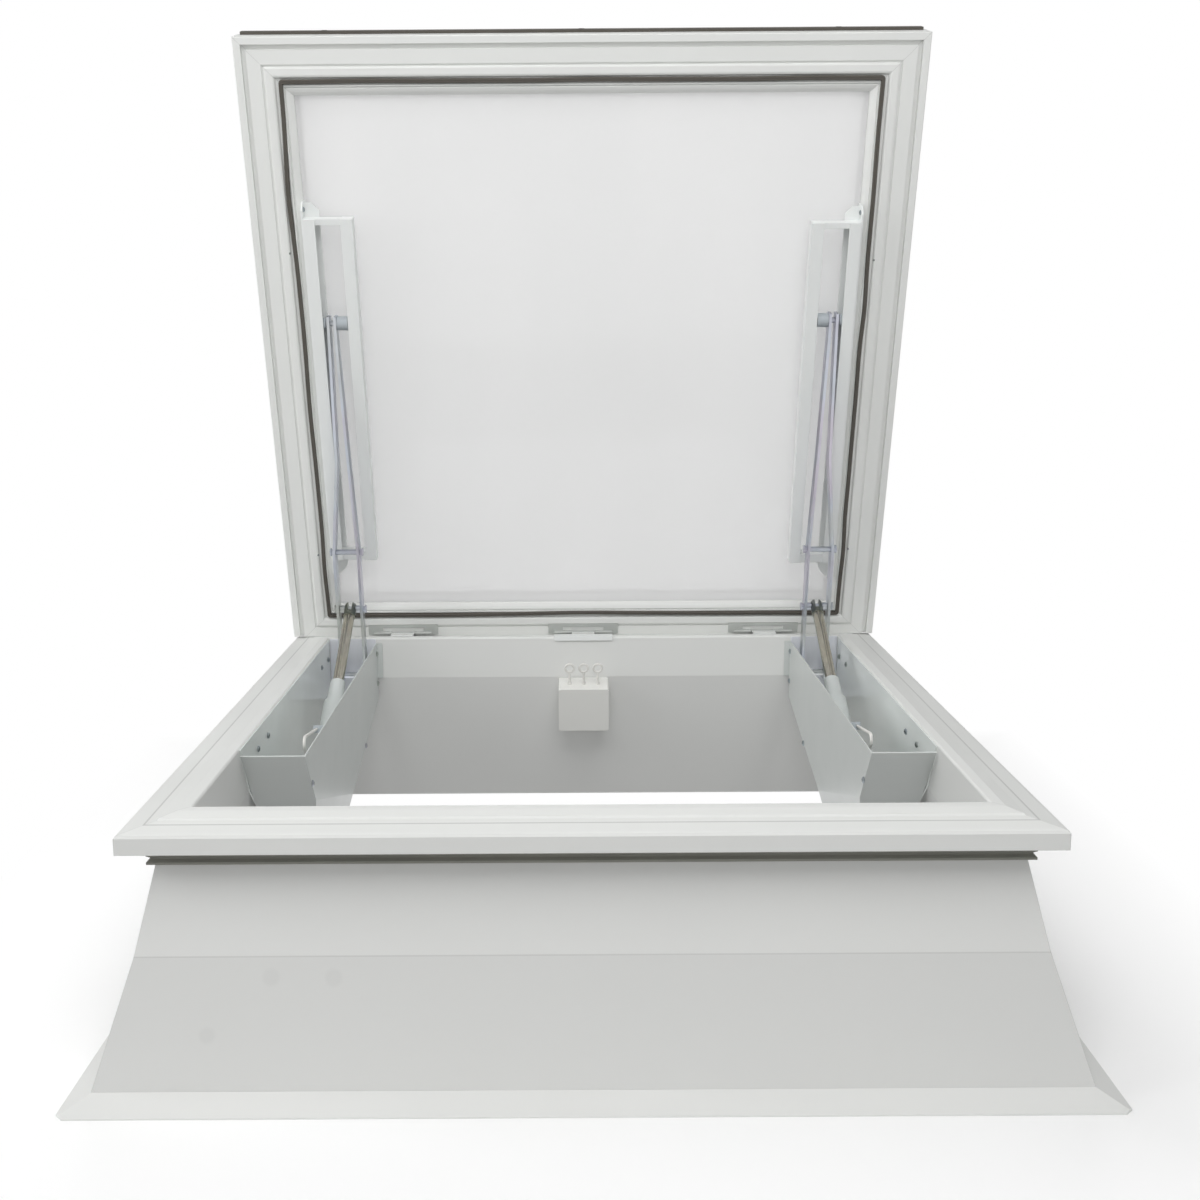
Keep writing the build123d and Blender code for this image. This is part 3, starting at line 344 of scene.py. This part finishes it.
finishes = {
    "curb_pvc": curb_finish(),
    "frame_pvc": jointed(
        "frame pvc",
        (0.75, 0.758, 0.74),
        (0, 0, 0),
        (0, 1, 0),
        ridge_shade_at=FRAME_RIDGE,
        specular=0.3,
        vary_scale=2.0,
    ),
    "sash_pvc": jointed("sash pvc", (0.815, 0.825, 0.805), SASH_MID, SASH_UP, longer=SASH_SHORTER),
    "seal_rubber": plain("seal rubber", (0.24, 0.24, 0.21), 0.55, vary=0.08, vary_scale=12.0, bump=0.08),
    "gasket_rubber": plain(
        "gasket rubber", (0.088, 0.080, 0.068), 0.5, vary=0.08, vary_scale=12.0, bump=0.08
    ),
    "opal_glass": opal_glass(),
    "clear_glass": clear_glass(),
    "spacer_alu": plain("spacer alu", (0.95, 0.95, 0.95), 0.5, bump=0.02),
    "hinge_steel": plain("hinge steel", (0.55, 0.57, 0.55), 0.42, metal=0.35, vary=0.05, vary_scale=18.0),
    "rail_white": painted_rail(),
    "zinc_steel": zinc("zinc steel", (0.68, 0.69, 0.73), stretch=(12, 12, 1)),
    "grey_plastic": plain("grey plastic", (0.44, 0.48, 0.51), 0.34, vary=0.05, vary_scale=20.0, bump=0.03),
    "tube_steel": zinc("tube steel", (0.52, 0.49, 0.42), rough=0.11, stretch=(20, 1, 20), tint=0.2),
    "sleeve_plastic": plain(
        "sleeve plastic", (0.60, 0.63, 0.62), 0.34, vary=0.03, vary_scale=12.0, bump=0.04
    ),
    "housing_white": plain(
        "housing white", (0.61, 0.64, 0.625), 0.34, vary=0.02, vary_scale=2.5, bump=0.0, coat=0.2
    ),
    "bracket_zinc": plain(
        "bracket zinc", (0.88, 0.90, 0.95), 0.35, metal=0.2, vary=0.07, stretch=(9, 9, 1), bump=0.03
    ),
    "box_plastic": plain("box plastic", (0.79, 0.79, 0.76), 0.38, vary=0.02, bump=0.04),
    "cable_white": plain("cable white", (0.78, 0.77, 0.74), 0.45, vary_scale=20.0),
}
own_finishes = {
    "housing_wall_plates": plain(
        "wall plate white", (0.91, 0.95, 0.93), 0.2, vary=0.03, vary_scale=2.0, bump=0.02, coat=0.5
    ),
    "drive_clevises": zinc("clevis steel", (0.36, 0.37, 0.33)),
}
screw_finish = zinc("screw zinc", (0.42, 0.45, 0.46))
# The screws' cross recesses are flat dark quads of painted shade, not hollows.
recess_shade_finish = plain("recess painted shade", (0.05, 0.05, 0.05), 0.6, bump=0.1)
for row in frame["record"]["subparts"]:
    mesh = frame["nodes"][row["node"]].data
    mesh.materials.clear()
    mesh.materials.append(own_finishes.get(row["node"], finishes[row["material_slot"]]))


# Added pieces
def keep(bm, name, material):
    """Turns a mesh that was built into an added piece that rides on the object."""
    mesh = bpy.data.meshes.new(name)
    bm.to_mesh(mesh)
    bm.free()
    for face in mesh.polygons:
        face.use_smooth = True
    obj = bpy.data.objects.new(name, mesh)
    bpy.context.scene.collection.objects.link(obj)
    mesh.materials.append(material)
    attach(obj, "root")
    return obj


def frame_at(point, normal):
    """A matrix that puts local Z on the normal."""
    z = Vector(normal).normalized()
    x = Vector((0, 0, 1)).cross(z).normalized()
    matrix = Matrix((x, z.cross(x), z)).transposed().to_4x4()
    matrix.translation = Vector(point)
    return matrix


def lathe(bm, matrix, profile, steps=20):
    """Adds a turned shape; profile is a list of (radius, height)."""
    rings = []
    for radius, height in profile:
        ring = []
        for k in range(steps):
            a = 2 * math.pi * k / steps
            spot = Vector((radius * math.cos(a), radius * math.sin(a), height))
            ring.append(bm.verts.new(matrix @ spot))
        rings.append(ring)
    for low, high in zip(rings, rings[1:]):
        for k in range(steps):
            bm.faces.new((low[k], low[(k + 1) % steps], high[(k + 1) % steps], high[k]))
    bm.faces.new(rings[-1])
    bm.faces.new(list(reversed(rings[0])))


def screws(name, places, radius):
    """Pan heads with a cross recess drawn as dark quads of painted shade; places are (point, normal)."""
    heads, recess_shade_quads = bmesh.new(), bmesh.new()
    high = radius * 0.55
    head = [
        (radius, -0.0002),
        (radius, high * 0.35),
        (radius * 0.86, high * 0.75),
        (radius * 0.55, high),
        (radius * 0.08, high),
    ]
    half_long, half_wide, lift = radius * 0.6, radius * 0.13, high + 0.00006
    for point, normal in places:
        turn = Matrix.Rotation(random.uniform(0, math.pi), 4, "Z")
        matrix = frame_at(point, normal) @ turn
        lathe(heads, matrix, head)
        # Each cross recess is two flat dark quads just above the head: painted shade for the hollow.
        for quarter in (0, math.pi / 2):
            arm = matrix @ Matrix.Rotation(quarter, 4, "Z")
            corners = []
            for u, v in ((-1, -1), (1, -1), (1, 1), (-1, 1)):
                corners.append(recess_shade_quads.verts.new(arm @ Vector((u * half_long, v * half_wide, lift))))
            recess_shade_quads.faces.new(corners)
    keep(heads, name, screw_finish)
    keep(recess_shade_quads, name + "_recess_shade", recess_shade_finish)


def housing_screws():
    """Screws through the cheeks of the housing covers and through their wall plates."""
    cheek_face = 0.405
    plate_thick = 0.002
    plate_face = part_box("housing_wall_plates")[1].x - plate_thick
    on_cheek = ((488, 313), (490, 253), (311, 179), (-211, 277))
    on_plate = ((473, 305), (403, 306), (445, 232), (-75, 311), (-144, 310))
    places = []
    for side in (-1, 1):
        for face, spots in ((cheek_face, on_cheek), (plate_face, on_plate)):
            places += [((side * face, y * MM, z * MM), (-side, 0, 0)) for y, z in spots]
    screws("housing_screws", places, 0.005)


def stile_screws():
    """One screw above and one below each guide rail."""
    spots = ((-514.5, 753.6), (-514.5, 170.4), (514.5, 735.1), (514.5, 176.8))
    screws("stile_screws", [(on_sash(x * MM, s * MM, SASH_FACE), SASH_IN) for x, s in spots], 0.0026)


def rail_screws():
    """Screws through the outer bars of the guide rails; the left rail sits higher."""
    flange_in, flange_out = 0.003, 0.008
    left_higher = 12
    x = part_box("guide_outer_bars")[1].x - flange_in
    places = []
    for side in (-1, 1):
        for s in (131, 289, 469, 649, 820):
            up = s + left_higher if side < 0 else s
            places.append((on_sash(side * x, up * MM, flange_out), (-side, 0, 0)))
    screws("rail_screws", places, 0.0042)


def turned(angle):
    return Vector((math.cos(angle), math.sin(angle)))


def gasket_path():
    """Points round the sash groove with their outward directions, with short turns at the corners."""
    corner = 0.0025
    half = Vector((0.5025 - corner, 0.5005 - corner))
    straight_steps, turn_steps = 90, 5
    path = []
    for k in range(4):
        start = (k - 1) * math.pi / 2
        outward, heading = turned(start), turned(start + math.pi / 2)
        run = abs(heading.x) * half.x + abs(heading.y) * half.y
        middle = Vector((outward.x * half.x, outward.y * half.y))
        for j in range(straight_steps):
            along = run * (2 * j / straight_steps - 1)
            path.append((middle + heading * along + outward * corner, outward))
        for j in range(turn_steps):
            out = turned(start + math.pi / 2 * j / turn_steps)
            path.append((middle + heading * run + out * corner, out))
    return path


def wavy_gasket():
    """The sash gasket as it lies in its groove, bowed out of line in a few places."""
    right, left, bottom = 0, 2, 3
    # Side, place along it, reach of the bow, how far it moves outward
    bows = (
        (left, 0.31, 0.10, 0.0038),
        (left, -0.10, 0.07, 0.0010),
        (left, -0.40, 0.05, 0.0010),
        (right, 0.11, 0.05, 0.0022),
        (right, -0.36, 0.05, 0.0024),
        (bottom, 0.03, 0.22, -0.0034),
    )
    wide = 0.0074
    half_outline = [(-0.5, -0.002), (-0.5, 0.0015), (-0.42, 0.0036), (-0.16, 0.0042)]
    outline = half_outline + [(0.0, 0.0030)] + [(-u, v) for u, v in reversed(half_outline)]
    waves = [
        (size, cycles, random.uniform(0, 2 * math.pi)) for size, cycles in ((0.0004, 11), (0.0002, 23))
    ]
    bm = bmesh.new()
    rings = []
    path = gasket_path()
    for k, (point, out) in enumerate(path):
        a = 2 * math.pi * k / len(path)
        sway = sum(size * math.sin(cycles * a + phase) for size, cycles, phase in waves)
        for side, place, reach, amount in bows:
            if out.dot(turned(side * math.pi / 2)) > 0.99:
                along = point.x if side == bottom else point.y
                sway += amount * math.exp(-(((along - place) / reach) ** 2))
        ring = []
        for u, v in outline:
            flat = point + out * (u * wide + sway)
            ring.append(bm.verts.new(on_sash(flat.x, SASH_MID_UP + flat.y, SASH_FACE + v)))
        rings.append(ring)
    for low, high in zip(rings, rings[1:] + rings[:1]):
        for a, b, c, d in zip(low, low[1:], high[1:], high):
            bm.faces.new((a, b, c, d))
    bmesh.ops.recalc_face_normals(bm, faces=bm.faces)
    piece = keep(bm, "gasket_laid", finishes["gasket_rubber"])
    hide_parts("sash_gasket")


def pin_clips():
    """Spring clips on the ends of the arm pins."""
    bm = bmesh.new()
    for name in ("cross_pins", "clevis_pins", "pivot_pins"):
        low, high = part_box(name)
        middle = (low + high) / 2
        radius = (high.z - low.z) * 0.42
        clip = [(radius, -0.0001), (radius, 0.0007), (radius * 0.5, 0.0010), (radius * 0.1, 0.0011)]
        for side in (-1, 1):
            lathe(bm, frame_at((side * high.x, middle.y, middle.z), (side, 0, 0)), clip)
    keep(bm, "pin_clips", screw_finish)


housing_screws()
stile_screws()
rail_screws()
wavy_gasket()
pin_clips()

# Floor, world and lamps. The floor and the world are white to the camera, and light the object less
FLOOR_GLOW = 0.34
AMBIENT = 0.24
FLOOR_REACH = 9.0
SHADOW_FROM = FLANGE_HALF + 0.02
SHADOW_FADE = 0.35
SEEN_THROUGH_OPENING = 0.6


def seen_directly(tree):
    """1 for the rays that show a thing, 0 for those that light others."""
    path = node(tree, "ShaderNodeLightPath").outputs
    seen = math_node(tree, "MAXIMUM", path["Is Camera Ray"], path["Is Transmission Ray"])
    return math_node(tree, "MAXIMUM", seen, path["Is Glossy Ray"])


def floor_finish():
    """Pale and dull where it takes the shadow round the object, and plain white elsewhere."""
    mat, tree, bsdf = new_material("studio floor")
    recolour(tree, bsdf, grey(tree, spread(tree, noise(tree, 1.2), 0.955, 0.97)))
    bsdf.inputs["Roughness"].default_value = 0.8
    bsdf.inputs["Specular IOR Level"].default_value = 0.1
    away = from_middle(tree)
    beyond = spread(tree, away, 0.0, 1.0, start=SHADOW_FROM, end=SHADOW_FROM + SHADOW_FADE)
    within = math_node(tree, "LESS_THAN", away, SEEN_THROUGH_OPENING)
    glow = spread(tree, seen_directly(tree), FLOOR_GLOW, 1.0, start=0.0, end=1.0)
    white = node(tree, "ShaderNodeEmission", {"Color": WHITE, "Strength": glow}).outputs[0]
    show(tree, mix_shaders(tree, math_node(tree, "MAXIMUM", beyond, within), bsdf.outputs[0], white))
    return mat


def studio_floor():
    mesh = bpy.data.meshes.new("floor")
    corners = [(x * FLOOR_REACH, y * FLOOR_REACH, 0) for x, y in ((-1, -1), (1, -1), (1, 1), (-1, 1))]
    mesh.from_pydata(corners, [], [(0, 1, 2, 3)])
    floor = bpy.data.objects.new("floor", mesh)
    bpy.context.scene.collection.objects.link(floor)
    mesh.materials.append(floor_finish())


def studio_world():
    """White to the camera; a mirrored ray meets bands, so that smooth faces show soft reflections."""
    world = bpy.data.worlds.new("studio")
    bpy.context.scene.world = world
    world.use_nodes = True
    sky = world.node_tree
    direction = node(sky, "ShaderNodeTexCoord").outputs["Generated"]
    aside = math_node(sky, "ABSOLUTE", component(sky, direction, "X"))
    bands = node(sky, "ShaderNodeValToRGB", {"Fac": aside})
    stops = bands.color_ramp.elements
    stops[0].color = WHITE
    for place, level in ((0.22, 0.5), (0.42, 0.35), (0.62, 0.30), (0.80, 1.0)):
        stops.new(place).color = (level, level, level, 1)
    brighter_up = spread(sky, component(sky, direction, "Z"), 0.6, 1.15, start=-0.1, end=0.8)
    mirrored = math_node(sky, "MULTIPLY", brighter_up, bands.outputs[0])
    glossy = node(sky, "ShaderNodeLightPath").outputs["Is Glossy Ray"]
    level = spread(sky, glossy, 1.0, mirrored, start=0.0, end=1.0)
    shown = math_node(sky, "MULTIPLY", seen_directly(sky), level)
    background = sky.nodes["Background"].inputs
    background["Color"].default_value = WHITE
    sky.links.new(math_node(sky, "MAXIMUM", AMBIENT, shown), background["Strength"])


def soft_light(name, place, aim, size, power):
    lamp = bpy.data.lights.new(name, "AREA")
    lamp.shape = "RECTANGLE"
    lamp.size, lamp.size_y = size
    lamp.energy = power
    holder = bpy.data.objects.new(name, lamp)
    holder.location = place
    holder.rotation_mode = "QUATERNION"
    holder.rotation_quaternion = (Vector(aim) - Vector(place)).to_track_quat("-Z", "Y")
    bpy.context.scene.collection.objects.link(holder)
    holder.visible_camera = False
    holder.visible_glossy = False


studio_floor()
studio_world()
soft_light("overhead", (0, -1.8, 3.0), (0, 0, 0.4), (2.6, 2.0), 57)
soft_light("left_side", (-3.2, -0.6, 1.8), (0, 0, 0.4), (2.4, 2.0), 50)
soft_light("front", (0, -4.2, 1.4), (0, 0, 0.5), (3.0, 2.0), 25)
soft_light("right_side", (3.2, -0.2, 1.6), (0, 0, 0.4), (2.4, 2.0), 9)
soft_light("behind", (0, 4.0, 2.2), (0, 0.3, 0.9), (3.0, 2.4), 88)


def photo_camera():
    """The camera that was fitted to the photo."""
    yaw, pitch, roll = math.radians(-0.127), math.radians(10.035), math.radians(-0.381)
    lens = bpy.data.cameras.new("camera")
    lens.sensor_width = 36.0
    lens.lens = 41.78
    lens.shift_x, lens.shift_y = 0.0261, -0.0109
    camera = bpy.data.objects.new("camera", lens)
    camera.location = (-0.0221, -2.1751, 0.9151)
    aim = Vector((math.sin(yaw) * math.cos(pitch), math.cos(yaw) * math.cos(pitch), -math.sin(pitch)))
    camera.rotation_mode = "QUATERNION"
    camera.rotation_quaternion = aim.to_track_quat("-Z", "Y") @ Quaternion((0, 0, 1), roll)
    bpy.context.scene.collection.objects.link(camera)
    bpy.context.scene.camera = camera
    bpy.context.scene.view_settings.view_transform = "Standard"


photo_camera()
